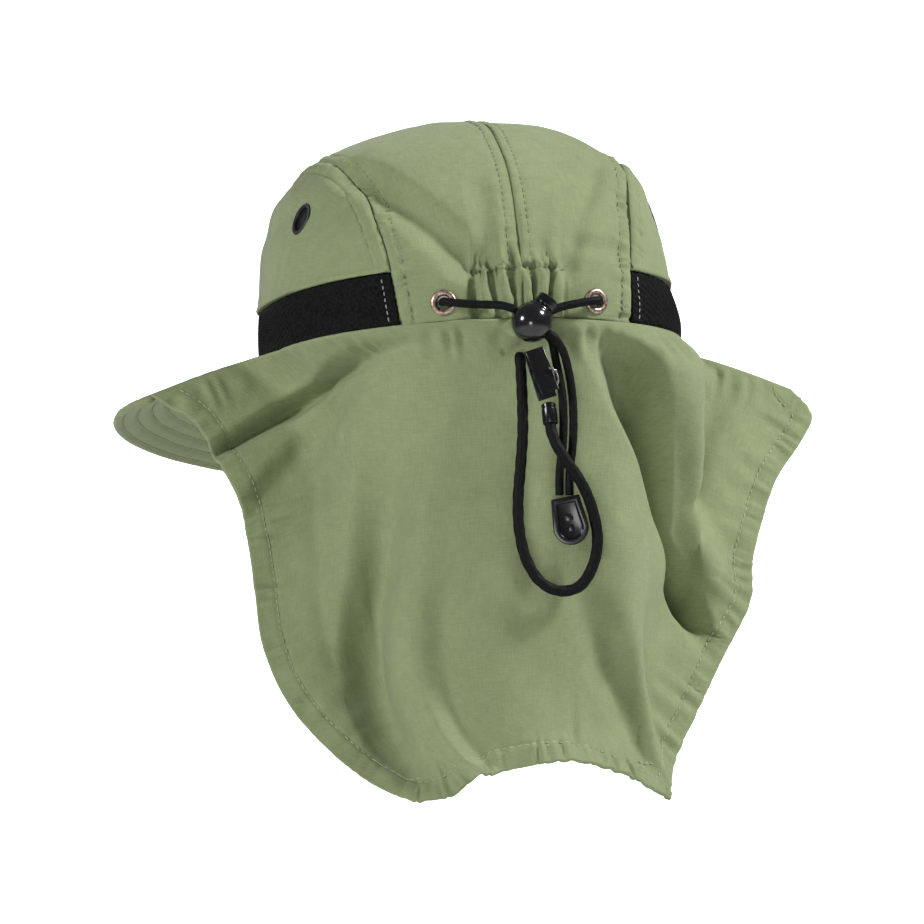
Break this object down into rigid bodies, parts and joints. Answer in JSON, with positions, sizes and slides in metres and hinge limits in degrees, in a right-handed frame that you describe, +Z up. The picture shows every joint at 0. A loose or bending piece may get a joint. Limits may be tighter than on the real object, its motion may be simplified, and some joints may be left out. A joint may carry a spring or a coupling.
{
  "type": "legionnaire cap",
  "caption": "Soft sun cap with a wide bill, mesh side bands, a long neck cape, a drawcord with a spring toggle at the back and a leash with a spring clip.",
  "frame": {"origin": "middle of the head opening, level with the seam at the back where the cape joins the crown", "axes": "+X towards the wearer's left, +Y towards the back of the head, +Z up out of the top of the crown; the bill points along -Y"},
  "size_m": [0.2656, 0.2892, 0.2553],
  "materials": {
    "crown_cloth": "matte woven nylon, sage green",
    "cape_cloth": "matte woven nylon, sage green",
    "bill_cloth": "matte woven nylon over foam, with rows of stitching",
    "knitted_mesh": "black knitted spacer mesh",
    "cord_black": "braided black elastic cord",
    "toggle_plastic": "polished black",
    "clip_plastic": "satin black",
    "eyelet_black": "black enamel",
    "grommet_metal": "antique bronze, worn bright at the rim"
  },
  "bodies": {
    "cap": {"crown_centre_left": "crown_cloth", "crown_centre_right": "crown_cloth", "crown_side_left": "crown_cloth", "crown_side_right": "crown_cloth", "mesh_band_left": "knitted_mesh", "mesh_band_right": "knitted_mesh", "bill": "bill_cloth", "neck_cape": "cape_cloth", "grommet_left": "grommet_metal", "grommet_right": "grommet_metal", "vent_eyelet_left": "eyelet_black", "vent_eyelet_right": "eyelet_black", "drawcord_left": "cord_black", "drawcord_right": "cord_black", "toggle_ball": "toggle_plastic", "tail_cord_near": "cord_black", "tail_cord_far": "cord_black", "cord_end": "clip_plastic", "leash_cord": "cord_black", "clip_ferrule": "clip_plastic", "clip_body": "clip_plastic"},
    "plunger": {"toggle_plunger": "clip_plastic"},
    "lever": {"clip_lever": "clip_plastic"}
  },
  "joints": [
    {"name": "plunger_press", "type": "slide", "parent": "cap", "child": "plunger", "axis": [0.6112, 0, -0.7915], "range_m": [0, 0.003], "stiffness_N_per_m": 400, "springref_m": -0.002},
    {"name": "lever_open", "type": "hinge", "parent": "cap", "child": "lever", "pos_m": [-0.0033, 0.1092, -0.0208], "axis": [-0.9579, 0, 0.287], "range_deg": [0, 20], "stiffness_Nm_per_rad": 0.05, "springref_deg": -11.46}
  ]
}
